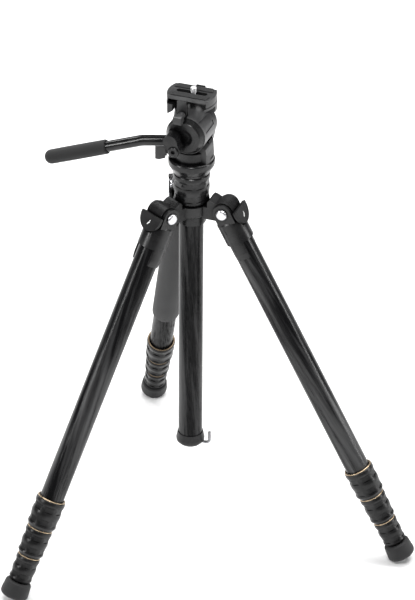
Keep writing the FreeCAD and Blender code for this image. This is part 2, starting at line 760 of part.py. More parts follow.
def yoke(doc, d):
    """Pedestal about the pan base, drawn in towards the drum, and one round-topped arm on the far side."""
    body = new_body(doc, "yoke")
    horn_top = d.tilt_height - 15.5
    tall = horn_top - d.pan_low
    disc(body, "Pad", "yoke_ring", "XY_Plane", (0, 0), d.yoke_radius, d.pan_low + tall / 2, tall)
    for side, name in ((1, "front"), (-1, "back")):
        outside = [(24 * side, d.tilt_height - 33), (22 * side, d.tilt_height - 25.8), (20.7 * side, d.tilt_height - 19),
                   (18.7 * side, horn_top + 0.5), (30 * side, horn_top + 0.5), (30 * side, d.tilt_height - 33)]
        slab(body, "Pocket", f"yoke_{name}_taper", "XZ_Plane", outside, 0, d.yoke_radius * 3)
    arm_middle = -(d.arm_inner + d.arm_outer) / 2
    arm_depth = d.arm_outer - d.arm_inner
    waist = [(-13, d.pan_low + 1.5), (13, d.pan_low + 1.5), (19, d.yoke_top), (d.arm_radius, d.tilt_height),
             (-d.arm_radius, d.tilt_height), (-19, d.yoke_top)]
    slab(body, "Pad", "yoke_arm", "XZ_Plane", waist, arm_middle, arm_depth)
    disc(body, "Pad", "yoke_head", "XZ_Plane", (0, d.tilt_height), d.arm_radius, arm_middle, arm_depth)
    disc(body, "Pocket", "yoke_seat", "XY_Plane", (0, 0), d.pan_radius,
         (d.pan_low + d.pan_top) / 2, d.pan_top - d.pan_low + 0.001)
    front = rectangle(-d.yoke_radius - 5, d.yoke_radius + 5, -d.yoke_radius - 5, d.yoke_front)
    slab(body, "Pocket", "yoke_front", "XY_Plane", front, d.yoke_top, d.yoke_top * 2)
    swing = d.drum_radius + 0.4
    depth = d.arm_inner + d.yoke_radius + 5
    disc(body, "Pocket", "yoke_swing", "XZ_Plane", (0, d.tilt_height), swing,
         depth / 2 - d.arm_inner, depth)
    above = [(0, d.tilt_height), (30, d.tilt_height - 27), (30, d.tilt_height)]
    slab(body, "Pocket", "yoke_rim_swing", "XZ_Plane", above, 14, 32)
    disc(body, "Pocket", "yoke_bore", "XZ_Plane", (0, d.tilt_height), d.axle_radius, arm_middle, arm_depth * 3)
    hole = body.newObject("PartDesign::SubtractiveCylinder", "yoke_knob_hole")
    bind(hole, Radius=3.0, Height=12)
    hole.Placement = at(0, 0, d.pan_knob_height, knob_direction(d)) * at(0, 0, d.pan_knob_from - 6)
    return body


def knob_direction(d):
    """Turns +Z level, outwards at the pan knob's place."""
    return Rotation(Z_AXIS, d.pan_knob_turn.number) * Rotation(Y_AXIS, 90)


def tilt_axle(doc, d):
    """Shaft along Y through the drum, with its head outside the arm."""
    tip = d.drum_near - d.hub_depth + 3.4
    return turned(doc, "tilt_axle", [
        (0, tip), (d.axle_radius - 0.6, tip), (d.axle_radius, tip + 0.6), (d.axle_radius, d.arm_outer),
        (d.axle_radius + 3.5, d.arm_outer), (d.axle_radius + 3.5, d.arm_outer + 1.8),
        (d.axle_radius + 2.3, d.arm_outer + 3), (0, d.arm_outer + 3)])


def wing_knob(doc, label, reach, neck_radius, shoulder, wing):
    """A flat wing on a neck along +Z; reach is how far its screw runs back below the neck."""
    length, root_half, wide_half, tip_half, thickness = wing
    body = turned(doc, label, [
        (0, -reach), (neck_radius - 1, -reach), (neck_radius - 1, 0), (neck_radius + 1.5, 0),
        (neck_radius + 0.5, shoulder + 1), (0, shoulder + 1)])
    sides = [(-root_half, shoulder), (root_half, shoulder), (wide_half, shoulder + length * 0.65),
             (tip_half, shoulder + length), (-tip_half, shoulder + length), (-wide_half, shoulder + length * 0.65)]
    slab(body, "Pad", f"{label}_wing", "XZ_Plane", sides, 0, thickness)
    return body


# ---------------------------------------------------------------- tilt stage, about the tilt axis

def tilt_drum(doc, d):
    """Barrel about the tilt axle; its upper side flares into a rim below the clamp."""
    body = new_body(doc, "tilt_drum")
    outline = new_sketch(body, "drum_flare", "XY_Plane")
    root = d.drum_radius - 6
    draw_polygon(outline, [
        (root, d.drum_near), (d.drum_radius, d.drum_near), (d.rim_radius - 0.9, d.rim_near), (d.rim_radius, d.rim_near),
        (d.rim_radius, d.rim_far), (root, d.rim_far)])
    flare = body.newObject("PartDesign::Revolution", "drum_flare_turn")
    flare.Profile = outline
    flare.ReferenceAxis = (outline, ["V_Axis"])
    flare.Angle = 360
    edge = math.radians(d.rim_from.number)
    reach = 40
    across, up = reach * math.cos(edge), reach * math.sin(edge)
    below = [(0, 1), (across, up), (reach + 5, up), (reach + 5, -reach), (-reach - 5, -reach), (-reach - 5, up),
             (-across, up)]
    slab(body, "Pocket", "drum_flare_ends", "XZ_Plane", below, 0, 60)
    middle = -(d.drum_near + d.drum_far) / 2
    depth = d.drum_far - d.drum_near
    disc(body, "Pad", "drum_barrel", "XZ_Plane", (0, 0), d.drum_radius, middle, depth)
    flank = [(21.7, 3.8), (24.0, 4.2), (22.2, 9.9), (20.1, 9.0)]
    slab(body, "Pocket", "drum_flank_groove", "XZ_Plane", flank, 2.5, 25)
    level = d.clamp_knob_z - d.tilt_height
    seat = rectangle(d.jaw_left - 0.5, d.jaw_right + 0.5, level - 3.8, reach)
    slab(body, "Pocket", "drum_jaw_seat", "XZ_Plane", seat, d.jaw_inner + 4.8, 10)
    disc(body, "Pocket", "drum_screw_hole", "XZ_Plane", (d.clamp_knob_x, level), 2.9, 10, 40)
    disc(body, "Pocket", "drum_bore", "XZ_Plane", (0, 0), d.axle_radius + d.running_gap, middle, depth * 2)
    return body


def hub_cap(doc, d):
    """Bevelled hub ring with a dished centre, on the near end of the drum."""
    bore = d.axle_radius + d.running_gap
    deep = d.hub_depth
    return turned(doc, "hub_cap", [
        (bore, 0), (d.drum_radius - 0.8, 0), (d.drum_radius - 0.8, 0.6), (d.hub_front_radius, deep - 0.5),
        (d.hub_front_radius - 0.6, deep), (d.hub_dish_radius, deep), (d.hub_dish_radius - 3, deep - 1.8),
        (0, deep - 2.0), (0, deep - 3.2), (bore, deep - 3.2)])


def handle_bracket(doc, d):
    """Clamp block on the hub: a socket for the handle above a boss for its clamp screw."""
    body = new_body(doc, "handle_bracket")
    middle = -(d.bracket_near + d.bracket_far) / 2
    depth = d.bracket_far - d.bracket_near
    disc(body, "Pad", "bracket_socket", "XZ_Plane", (d.bracket_x, 0), d.bracket_radius, middle, depth)
    disc(body, "Pad", "bracket_boss", "XZ_Plane", (d.boss_x, d.boss_z), d.boss_radius, middle, depth)
    web = [(d.bracket_x - d.bracket_radius + 0.5, -2), (d.boss_x - d.boss_radius + 0.6, d.boss_z - 2),
           (d.boss_x + d.boss_radius, d.boss_z), (d.bracket_x + d.bracket_radius, 0)]
    slab(body, "Pad", "bracket_web", "XZ_Plane", web, middle, depth)
    disc(body, "Pocket", "bracket_counterbore", "XZ_Plane", (d.boss_x, d.boss_z), 6.0, -d.bracket_near, 2.4)
    disc(body, "Pocket", "bracket_screw_hole", "XZ_Plane", (d.boss_x, d.boss_z), 3.05, -d.bracket_near, 27)
    socket = body.newObject("PartDesign::SubtractiveCylinder", "bracket_bore")
    bind(socket, Radius=d.handle_tube_radius + d.running_gap, Height=d.handle_first_run)
    socket.Placement = at(d.handle_start_x, d.handle_y, d.handle_start_z, handle_direction(d))
    return body


def handle_direction(d, extra=0):
    """Turns +Z to the handle's run: towards -X and downwards."""
    return Rotation(Y_AXIS, -90 - d.handle_dip.number - number_of(extra))


def clamp_screw(doc, d):
    """Socket-head screw along Y that clamps the handle; +Z of the body is towards the near side."""
    body = turned(doc, "handle_clamp_screw", [
        (0, -12), (3, -12), (3, 0), (5.8, 0), (5.8, 2.2), (5.0, 3.0), (0, 3.0)])
    key = new_sketch(body, "clamp_screw_key", "XY_Plane", 3)
    corner = 2.6
    turns = [math.radians(60 * step) for step in range(6)]
    draw_polygon(key, [(corner * math.cos(turn) + 1e-9, corner * math.sin(turn) + 1e-9) for turn in turns])
    extrude(body, "Pocket", key, 4.0, both_ways=True)
    return body


def handle_tube(doc, d):
    return bent_rod(doc, "handle_tube", d.handle_tube_radius, (d.handle_first_run, d.handle_second_run),
                    d.handle_bend, d.handle_bend_radius)


def handle_grip(doc, d):
    """Soft grip with a small lip at its mouth and a domed end."""
    bore = d.handle_tube_radius
    grip = d.handle_grip_radius
    depth = d.handle_second_run - d.handle_grip_from
    body = turned(doc, "handle_grip", [
        (bore, 0), (grip - 0.9, 0), (grip, 1.5), (grip, d.handle_grip_length), (0, d.handle_grip_length),
        (0, depth), (bore, depth)])
    round_edges(doc, body, grip - 0.6, flat_at(d.handle_grip_length))
    return body


def handle_places(d, places):
    """Where the tube starts in the bracket, and where the grip starts on its second run."""
    start = places.tilt * at(d.handle_start_x, d.handle_y, d.handle_start_z, handle_direction(d))
    bend = math.radians(d.handle_bend.number)
    run = d.handle_grip_from.number
    mouth = at(-run * math.sin(bend), 0, d.handle_first_run.number + run * math.cos(bend),
               Rotation(Y_AXIS, -d.handle_bend.number))
    return start, start * mouth


# ---------------------------------------------------------------- quick release

def clamp_body(doc, d):
    """Clamp base saddled on the drum, open in front of the drum's rim, with one fixed jaw on the far side."""
    body = new_body(doc, "clamp_body")
    block = new_sketch(body, "clamp_block", "XY_Plane", d.clamp_low)
    draw_d_ended(block, d.clamp_half_length, d.clamp_half_width, d.corner_x)
    extrude(body, "Pad", block, d.clamp_top - d.clamp_low)
    jaw = [(d.dovetail_half + d.loose_gap, d.clamp_top - 1), (d.dovetail_half + d.loose_gap, d.plate_low + 1.7),
           (d.waist_half + d.loose_gap, d.plate_flange - 1.5), (d.waist_half + d.loose_gap, d.jaw_top),
           (d.clamp_half_width, d.jaw_top), (d.clamp_half_width, d.clamp_top - 1)]
    slab(body, "Pad", "clamp_fixed_jaw", "YZ_Plane", jaw, 0, d.jaw_half * 2)
    boss = rectangle(-4.2, 10.2, d.clamp_half_width - 1, d.clamp_half_width + 3)
    slab(body, "Pad", "clamp_button_boss", "XY_Plane", boss, (d.clamp_ledge + d.clamp_top) / 2,
         d.clamp_top - d.clamp_ledge)
    ledge = rectangle(d.drum_far - 0.1, d.clamp_half_width + 6, d.clamp_low - 1, d.clamp_ledge)
    slab(body, "Pocket", "clamp_ledge", "YZ_Plane", ledge, 0, d.clamp_half_length * 3)
    open_near = -d.clamp_half_width - 5
    recess = rectangle(open_near, d.rim_near - 0.1, d.clamp_low - 1, d.clamp_top + 5)
    slab(body, "Pocket", "clamp_near_recess", "YZ_Plane", recess, (d.recess_half + d.recess_left) / 2,
         d.recess_half - d.recess_left)
    corner = rectangle(open_near, d.rim_near - 0.1, d.clamp_low - 1, d.clamp_top - 3)
    slab(body, "Pocket", "clamp_corner_recess", "YZ_Plane", corner, d.recess_half + 5, 12)
    for side, name in ((1, "front"), (-1, "back")):
        undercut = [(15 * side, d.clamp_low - 1), (15 * side, d.clamp_low), (d.clamp_half_length * side, d.clamp_low + 5.6),
                    ((d.clamp_half_length + 2) * side, d.clamp_low + 5.6), ((d.clamp_half_length + 2) * side, d.clamp_low - 1)]
        slab(body, "Pocket", f"clamp_{name}_undercut", "XZ_Plane", undercut, 0, d.clamp_half_width * 3)
    well = rectangle(-2.6, 8.6, d.clamp_half_width + 0.4, d.clamp_half_width + 2.6)
    slab(body, "Pocket", "clamp_button_well", "XY_Plane", well, d.clamp_top, 12)
    disc(body, "Pocket", "clamp_saddle", "XZ_Plane", (0, d.tilt_height), d.drum_radius, 0, 60)
    disc(body, "Pocket", "clamp_rim_groove", "XZ_Plane", (0, d.tilt_height), d.rim_radius + d.running_gap,
         -(d.rim_far - 14.9), 30)
    disc(body, "Pocket", "clamp_screw_hole", "XZ_Plane", (d.clamp_knob_x, d.clamp_knob_z), 2.8, 10, 32)
    return body


def clamp_jaw(doc, d):
    """Moving jaw on the near side, drawn in by the clamp knob's screw."""
    body = new_body(doc, "clamp_jaw")
    side = [(-d.clamp_half_width, d.jaw_low), (-d.clamp_half_width, d.jaw_top),
            (-d.waist_half - d.loose_gap, d.jaw_top), (-d.waist_half - d.loose_gap, d.plate_flange - 1.5),
            (-d.dovetail_half - d.loose_gap, d.plate_low + 1.7), (-d.dovetail_half - d.loose_gap, d.clamp_top),
            (-d.jaw_inner, d.clamp_top), (-d.jaw_inner, d.jaw_low)]
    slab(body, "Pad", "jaw_side", "YZ_Plane", side, (d.jaw_left + d.jaw_right) / 2, d.jaw_right - d.jaw_left)
    disc(body, "Pocket", "jaw_hole", "XZ_Plane", (d.clamp_knob_x, d.clamp_knob_z), 2.9,
         d.clamp_half_width, 20)
    return body


def safety_button(doc, d):
    """Sprung button behind the far jaw."""
    body = new_body(doc, "safety_button")
    outline = rectangle(-2.3, 8.3, d.clamp_half_width + 0.7, d.clamp_half_width + 2.3)
    low, high = d.clamp_top - 4, d.plate_high - 1.2
    slab(body, "Pad", "button_block", "XY_Plane", outline, (low + high) / 2, high - low)
    return body


def quick_release_plate(doc, d):
    """Dovetail plate with a skirt at each end, a slot for the camera screw and a channel for its head."""
    body = new_body(doc, "quick_release_plate")
    top = new_sketch(body, "plate_top", "XY_Plane", d.plate_low)
    draw_d_ended(top, d.plate_half_length, d.plate_half_width, d.corner_x)
    extrude(body, "Pad", top, d.plate_high - d.plate_low)
    open_half = d.plate_half_width + 5
    between = rectangle(-open_half, open_half, d.plate_low - 1, d.plate_flange)
    slab(body, "Pocket", "plate_skirt_gap", "YZ_Plane", between, 0, (d.corner_x + 0.8) * 2)
    foot_half = d.dovetail_half
    tail = [(-foot_half, d.plate_low), (foot_half, d.plate_low), (foot_half, d.plate_low + 1.5),
            (d.waist_half, d.plate_flange - 1.5), (d.waist_half, d.plate_flange + 0.5),
            (-d.waist_half, d.plate_flange + 0.5), (-d.waist_half, d.plate_flange - 1.5),
            (-foot_half, d.plate_low + 1.5)]
    slab(body, "Pad", "plate_tail", "YZ_Plane", tail, 0, (d.corner_x + 1) * 2)
    for side, name in ((1, "far"), (-1, "near")):
        inner = (d.plate_half_width - d.plate_chamfer) * side
        outer = (d.plate_half_width + 1) * side
        level = d.plate_high - 2.5
        slope = [(inner, d.plate_high + 1), (inner, d.plate_high), (d.plate_half_width * side, level),
                 (outer, level), (outer, d.plate_high + 1)]
        slab(body, "Pocket", f"plate_{name}_slope", "YZ_Plane", slope, 0, d.plate_half_length * 3)
    straight = d.slot_half - d.slot_radius
    channel = rectangle(-straight - 6.8, straight + 6.8, -6.8, 6.8)
    slab(body, "Pocket", "plate_channel", "XY_Plane", channel, d.plate_low, 7.2)
    slot = rectangle(-straight, straight, -d.slot_radius, d.slot_radius)
    slab(body, "Pocket", "plate_slot", "XY_Plane", slot, d.plate_high, 20)
    for side, name in ((1, "front"), (-1, "back")):
        disc(body, "Pocket", f"plate_slot_{name}", "XY_Plane", (straight * side, 0), d.slot_radius, d.plate_high, 20)
    return body


def plate_pads(doc, d):
    """Two rubber strips on top of the plate, one each side of the slot."""
    pads = []
    for side, name in ((1, "far"), (-1, "near")):
        pad = new_body(doc, f"pad_{name}")
        near, far = 5.6 * side, 14.0 * side
        outline = [(-22.5, near), (22.5, near), (20.5, far), (-20.5, far)]
        slab(pad, "Pad", f"pad_{name}_strip", "XY_Plane", outline, d.plate_high + d.pad_thickness / 2,
             d.pad_thickness)
        pads.append(pad)
    group = doc.addObject("Part::Compound", "plate_pads")
    group.Label = "plate_pads"
    group.Links = pads
    return group


def screw_clip(doc, d):
    """Retaining washer that slides in the plate's channel and holds the camera screw."""
    low = d.plate_low + 2.4
    return turned(doc, "screw_clip", [
        (d.screw_radius + 0.3, low), (6.6, low), (6.6, low + 0.9), (d.screw_radius + 0.3, low + 0.9)])


def camera_screw(doc, d):
    """Camera screw: a slotted head, a thin captive neck, and a plain end at the thread's outer size."""
    head = d.plate_low + 0.2
    body = turned(doc, "camera_screw", [
        (0, head), (d.screw_head_radius, head), (d.screw_head_radius, head + 2), (d.screw_neck, head + 2),
        (d.screw_neck, d.plate_high + 0.4), (d.screw_radius, d.plate_high + d.pad_thickness),
        (d.screw_radius, d.screw_top - 0.8), (d.screw_radius - 0.8, d.screw_top), (0, d.screw_top)])
    coin = rectangle(-0.9, 0.9, head - 1, head + 1)
    slab(body, "Pocket", "screw_coin_slot", "XZ_Plane", coin, 0, d.screw_head_radius * 3)
    return body


# ---------------------------------------------------------------- assembly

def build(doc):
    """All sub-parts by node name, each already in its place."""
    d = Sheet(doc)
    doc.recompute()
    places = Places(d)
    parts = {}
    for name, place in places.legs.items():
        for label, piece in make_leg(doc, d, name).items():
            piece.Placement = place
            parts[label] = piece
    parts["hinge_bolts"] = hinge_bolts(doc, d, places)
    for maker in (spider, column_bushing, strap_ring, column_collar, column_tube, column_cap, weight_hook,
                  column_plate, head_base, pan_spindle, pan_base, yoke, clamp_body, clamp_jaw,
                  safety_button, quick_release_plate, plate_pads):
        piece = maker(doc, d)
        piece.Placement = places.shoulder
        parts[piece.Label] = piece
    for maker in (screw_clip, camera_screw):
        piece = maker(doc, d)
        piece.Placement = places.shoulder * at(d.screw_x)
        parts[piece.Label] = piece
    for maker in (tilt_drum, handle_bracket):
        piece = maker(doc, d)
        piece.Placement = places.tilt
        parts[piece.Label] = piece
    axle = tilt_axle(doc, d)
    axle.Placement = places.tilt * at(rotation=ALONG_PLUS_Y)
    hub = hub_cap(doc, d)
    hub.Placement = places.tilt * at(0, d.drum_near, 0, ALONG_MINUS_Y)
    screw = clamp_screw(doc, d)
    screw.Placement = places.tilt * at(d.boss_x, d.bracket_near + 1.2, d.boss_z, ALONG_MINUS_Y)
    tube_place, grip_place = handle_places(d, places)
    tube = handle_tube(doc, d)
    tube.Placement = tube_place
    grip = handle_grip(doc, d)
    grip.Placement = grip_place
    side_knob = wing_knob(doc, "clamp_knob", 14, 2.7, 5.6, (10.4, 3.6, 5.0, 4.2, 9.4))
    upright = at(rotation=Rotation(Z_AXIS, 90))
    side_knob.Placement = (places.shoulder * at(d.clamp_knob_x, -d.clamp_half_width - d.jaw_travel,
                                                d.clamp_knob_z, ALONG_MINUS_Y) * upright)
    pan_knob = wing_knob(doc, "pan_knob", 5, 3.8, 1.6, (11.6, 6.0, 8.0, 6.8, 9.6))
    pan_knob.Placement = places.shoulder * (at(0, 0, d.pan_knob_height, knob_direction(d))
                                             * at(0, 0, d.pan_knob_from))
    for piece in (axle, hub, screw, tube, grip, side_knob, pan_knob):
        parts[piece.Label] = piece
    return parts


def check(doc, parts):
    """Stop if any object failed or any sub-part has no valid solid."""
    failed = [item.Name for item in doc.Objects if "Invalid" in item.State or "Error" in item.State]
    if failed:
        raise RuntimeError(f"failed objects: {failed}")
    for label, piece in parts.items():
        if piece.Shape.isNull() or not piece.Shape.isValid() or not piece.Shape.Solids:
            raise RuntimeError(f"{label} has no valid solid")


def main():
    doc = FreeCAD.newDocument("travel_tripod")
    parts = build(doc)
    doc.recompute()
    check(doc, parts)
    os.makedirs("parts", exist_ok=True)
    for label, piece in parts.items():
        piece.Shape.exportStep(f"parts/{label}.step")
    whole = Part.makeCompound([piece.Shape for piece in parts.values()]).BoundBox
    print(f"{len(parts)} sub-parts, box centre {whole.Center}, size {whole.XLength} {whole.YLength} {whole.ZLength},"
          f" base {whole.ZMin}")


main()
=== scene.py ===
"""Looks of a travel tripod with a small fluid head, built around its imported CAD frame. Metres, Z up."""
import json
import math

import bmesh
import bpy
from mathutils import Matrix, Vector


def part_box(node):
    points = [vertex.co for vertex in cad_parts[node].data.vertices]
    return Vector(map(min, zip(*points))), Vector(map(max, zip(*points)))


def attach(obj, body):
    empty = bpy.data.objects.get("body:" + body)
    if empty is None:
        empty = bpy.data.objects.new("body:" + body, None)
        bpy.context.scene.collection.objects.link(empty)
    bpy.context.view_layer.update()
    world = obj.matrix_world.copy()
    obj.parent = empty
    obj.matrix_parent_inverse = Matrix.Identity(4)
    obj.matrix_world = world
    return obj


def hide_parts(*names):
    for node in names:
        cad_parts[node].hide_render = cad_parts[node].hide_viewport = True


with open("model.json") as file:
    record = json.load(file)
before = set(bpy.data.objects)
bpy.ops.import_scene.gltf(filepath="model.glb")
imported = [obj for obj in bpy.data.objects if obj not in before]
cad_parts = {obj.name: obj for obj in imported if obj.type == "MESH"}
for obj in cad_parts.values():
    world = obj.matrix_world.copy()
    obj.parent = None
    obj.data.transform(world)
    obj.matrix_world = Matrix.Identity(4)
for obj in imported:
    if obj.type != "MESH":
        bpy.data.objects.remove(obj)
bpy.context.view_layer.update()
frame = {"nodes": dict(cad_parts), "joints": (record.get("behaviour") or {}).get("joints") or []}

MM = 0.001
NODES = frame["nodes"]
JOINTS = {joint["name"]: joint for joint in frame["joints"]}
LEGS = ("leg_a", "leg_b", "leg_c")
REAR_LEG = "leg_b"  # the one with the foam sleeve, in the shade behind the others, which is painted into darker copies of its casting, collar, ring and carbon materials


# ---------------------------------------------------------------- places

def middle(node):
    low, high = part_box(node)
    return (low + high) / 2


def axes_matrix(x, y, z, origin):
    matrix = Matrix((x, y, z)).transposed().to_4x4()
    matrix.translation = origin
    return matrix


def leg_frame(leg):
    """Z up the tube's axis, X out of the tripod, origin where the twist collar's joint is."""
    down = Vector(JOINTS[f"{leg}_twist_1_turn"]["axis"]).normalized()
    y = -Vector(JOINTS[f"{leg}_hinge"]["axis"]).normalized()
    z = -down
    return axes_matrix(y.cross(z), y, z, Vector(JOINTS[f"{leg}_twist_1_turn"]["pos_m"]))


LEG_FRAMES = {leg: leg_frame(leg) for leg in LEGS}
COLUMN = middle("column_tube")
COLUMN.z = 0
HINGE_Z = JOINTS["leg_a_hinge"]["pos_m"][2]
COLUMN_FRAME = Matrix.Translation(Vector((COLUMN.x, COLUMN.y, HINGE_Z)))


def local_points(node, matrix):
    """The corners of a CAD node's mesh in a frame."""
    inverse = matrix.inverted()
    return [inverse @ vertex.co for vertex in NODES[node].data.vertices]


def span_along(node, matrix):
    """Lowest and highest local Z of a CAD node in a frame."""
    heights = [point.z for point in local_points(node, matrix)]
    return min(heights), max(heights)


# ---------------------------------------------------------------- shader nodes

class Shader:
    """A material with short ways to add and link nodes."""

    def __init__(self, name, color, roughness, metallic=0.0, specular=0.5):
        self.material = bpy.data.materials.new(name)
        self.material.use_nodes = True
        self.tree = self.material.node_tree
        self.surface = self.tree.nodes["Principled BSDF"]
        self.put(self.surface, "Base Color", (*color, 1))
        self.put(self.surface, "Roughness", roughness)
        self.put(self.surface, "Metallic", metallic)
        self.put(self.surface, "Specular IOR Level", specular)

    @staticmethod
    def put(node, socket, value):
        node.inputs[socket].default_value = value

    def add(self, kind, **settings):
        node = self.tree.nodes.new(kind)
        for key, value in settings.items():
            setattr(node, key, value)
        return node

    def link(self, source, target):
        self.tree.links.new(source, target)

    def coordinates(self, matrix=None):
        """Object coordinates, carried into a local frame where one is given."""
        here = self.add("ShaderNodeTexCoord").outputs["Object"]
        if matrix is None:
            return here
        inverse = matrix.inverted()
        mapping = self.add("ShaderNodeMapping", vector_type="POINT")
        self.put(mapping, "Location", inverse.translation)
        self.put(mapping, "Rotation", inverse.to_euler())
        self.link(here, mapping.inputs["Vector"])
        return mapping.outputs["Vector"]

    def scaled(self, vector, scale):
        mapping = self.add("ShaderNodeMapping")
        self.put(mapping, "Scale", scale)
        self.link(vector, mapping.inputs["Vector"])
        return mapping.outputs["Vector"]

    def noise(self, vector, scale, detail=3.0, roughness=0.5, distortion=0.0):
        node = self.add("ShaderNodeTexNoise")
        self.put(node, "Scale", scale)
        self.put(node, "Detail", detail)
        self.put(node, "Roughness", roughness)
        self.put(node, "Distortion", distortion)
        self.link(vector, node.inputs["Vector"])
        return node.outputs["Fac"]

    def voronoi(self, vector, scale):
        node = self.add("ShaderNodeTexVoronoi")
        self.put(node, "Scale", scale)
        self.link(vector, node.inputs["Vector"])
        return node.outputs["Distance"]

    def math(self, operation, first, second):
        node = self.add("ShaderNodeMath", operation=operation)
        for socket, value in zip(node.inputs, (first, second)):
            if isinstance(value, (int, float)):
                socket.default_value = value
            else:
                self.link(value, socket)
        return node.outputs["Value"]

    def spread(self, factor, low, high, start=0.3, end=0.7):
        """Maps a factor's start to end onto low to high."""
        node = self.add("ShaderNodeMapRange")
        self.put(node, "From Min", start)
        self.put(node, "From Max", end)
        self.put(node, "To Min", low)
        self.put(node, "To Max", high)
        self.link(factor, node.inputs["Value"])
        return node.outputs["Result"]

    def color_between(self, factor, first, second):
        node = self.add("ShaderNodeMix", data_type="RGBA")
        self.link(factor, node.inputs["Factor"])
        # a Mix node has sockets of one name for each data type, so the colour ones are found by type
        for socket in node.inputs:
            if socket.type == "RGBA":
                socket.default_value = (*(first if socket.name == "A" else second), 1)
        return next(socket for socket in node.outputs if socket.type == "RGBA")

    def painted_crease_shade(self, reach, low, high):
        """Painted shade: low in creases and close gaps, high on open faces."""
        node = self.add("ShaderNodeAmbientOcclusion", samples=8)
        self.put(node, "Distance", reach * MM)
        return self.spread(node.outputs["AO"], low, high, 0.45, 0.95)

    def use(self, socket, value):
        self.link(value, self.surface.inputs[socket])

    def bump(self, *layers):
        """Stacks (height, strength, distance in mm) layers of bump."""
        normal = None
        for height, strength, distance in layers:
            node = self.add("ShaderNodeBump")
            self.put(node, "Strength", strength)
            self.put(node, "Distance", distance * MM)
            self.link(height, node.inputs["Height"])
            if normal is not None:
                self.link(normal, node.inputs["Normal"])
            normal = node.outputs["Normal"]
        self.use("Normal", normal)


FIBRE_TWIST = 5.0  # radians that the fibres wind round a tube per metre of its length
WEAVE_TURNS = 22.0  # crossings of the weave round a tube
WEAVE_LEAN = 70.0  # radians per metre that each family of threads leans


def carbon(name, matrix, pale=1.0):
    """Clear-coated carbon fibre wound round the frame's Z; pale scales the lighter fibres."""
    shader = Shader(name, (0.006, 0.006, 0.0065), 0.3, specular=0.25)
    local = shader.coordinates(matrix)
    parts = shader.add("ShaderNodeSeparateXYZ")
    shader.link(local, parts.inputs["Vector"])
    twist = shader.add("ShaderNodeVectorRotate", rotation_type="Z_AXIS")
    shader.link(local, twist.inputs["Vector"])
    shader.link(shader.math("MULTIPLY", parts.outputs["Z"], FIBRE_TWIST), twist.inputs["Angle"])
    wound = twist.outputs["Vector"]
    streaks = shader.noise(shader.scaled(wound, (1, 1, 0.05)), 130, 3, 0.55)
    fibres = shader.noise(shader.scaled(wound, (1, 1, 0.1)), 900, 3, 0.6)
    drift = shader.noise(shader.scaled(local, (1, 1, 0.25)), 26, 2)
    around = shader.math("ARCTAN2", parts.outputs["Y"], parts.outputs["X"])
    along = shader.math("MULTIPLY", parts.outputs["Z"], WEAVE_LEAN)
    threads = []
    for sign in (1, -1):
        phase = shader.math("ADD", around, shader.math("MULTIPLY", along, sign))
        threads.append(shader.math("SINE", shader.math("MULTIPLY", phase, WEAVE_TURNS), 0))
    weave = shader.math("MULTIPLY", threads[0], threads[1])
    mixed = shader.math("ADD", shader.math("MULTIPLY", streaks, 0.7),
                        shader.math("MULTIPLY", drift, 0.3))
    band = shader.spread(mixed, 0, 1, 0.44, 0.64)
    light = (0.034 * pale, 0.034 * pale, 0.035 * pale)
    shader.use("Base Color", shader.color_between(band, (0.004, 0.004, 0.0044), light))
    rough = shader.spread(mixed, 0.2, 0.42, 0.4, 0.64)
    fine_rough = shader.math("ADD", shader.math("MULTIPLY", weave, 0.02),
                             shader.spread(fibres, -0.05, 0.05))
    shader.use("Roughness", shader.math("ADD", rough, fine_rough))
    shine = shader.spread(mixed, 0.12 * pale, 0.6 * pale, 0.42, 0.66)
    shader.use("Specular IOR Level", shader.math("ADD", shine, shader.spread(fibres, -0.05, 0.08)))
    shader.bump((streaks, 0.15, 0.15), (fibres, 0.12, 0.03), (weave, 0.2, 0.015))
    return shader.material


def shade(color, by):
    return tuple(min(channel * by, 1) for channel in color)


def satin_metal(name, color, roughness, grain=1.0, specular=0.5, lightest_tone=1.3, reach=11):
    """Anodised or painted metal: fine grain, handling marks, and painted shade down in creases that
    darkens the colour and dims the shine.
    """
    shader = Shader(name, color, roughness, specular=specular)
    here = shader.coordinates()
    cloud = shader.noise(here, 55, 3, 0.55)
    fine = shader.noise(here, 2600, 2, 0.6)
    # painted shade: ambient occlusion darkens the colour and dims the shine in creases and close gaps; the
    # lighter end is random handling marks on open faces
    painted_shade_factor = shader.painted_crease_shade(reach, 0, 1)
    painted_shade_and_tone = shader.math("MULTIPLY", shader.spread(cloud, 0.75, 1.15, 0.35, 0.7), painted_shade_factor)
    shader.use("Base Color", shader.color_between(painted_shade_and_tone, shade(color, 0.45), shade(color, lightest_tone)))
    shader.use("Specular IOR Level", shader.math("MULTIPLY", painted_shade_and_tone, specular))
    rough = shader.math("ADD", shader.spread(cloud, roughness - 0.07, roughness + 0.07),
                        shader.spread(fine, -0.03, 0.03))
    shader.use("Roughness", rough)
    shader.bump((fine, 0.2 * grain, 0.03), (cloud, 0.05, 0.1))
    return shader.material


def bare_metal(name, color, roughness, brushed=(1, 1, 1)):
    """Bare or plated metal with faint brushing along the frame's stretched axis."""
    shader = Shader(name, color, roughness, metallic=1.0)
    here = shader.scaled(shader.coordinates(), brushed)
    lines = shader.noise(here, 900, 3, 0.6)
    smudge = shader.noise(here, 60, 2)
    shader.use("Base Color", shader.color_between(shader.spread(smudge, 0, 1), shade(color, 0.88), color))
    shader.use("Roughness", shader.math("ADD", shader.spread(smudge, roughness * 0.75, roughness * 1.25),
                                        shader.spread(lines, -0.02, 0.03)))
    shader.bump((lines, 0.1, 0.02))
    return shader.material


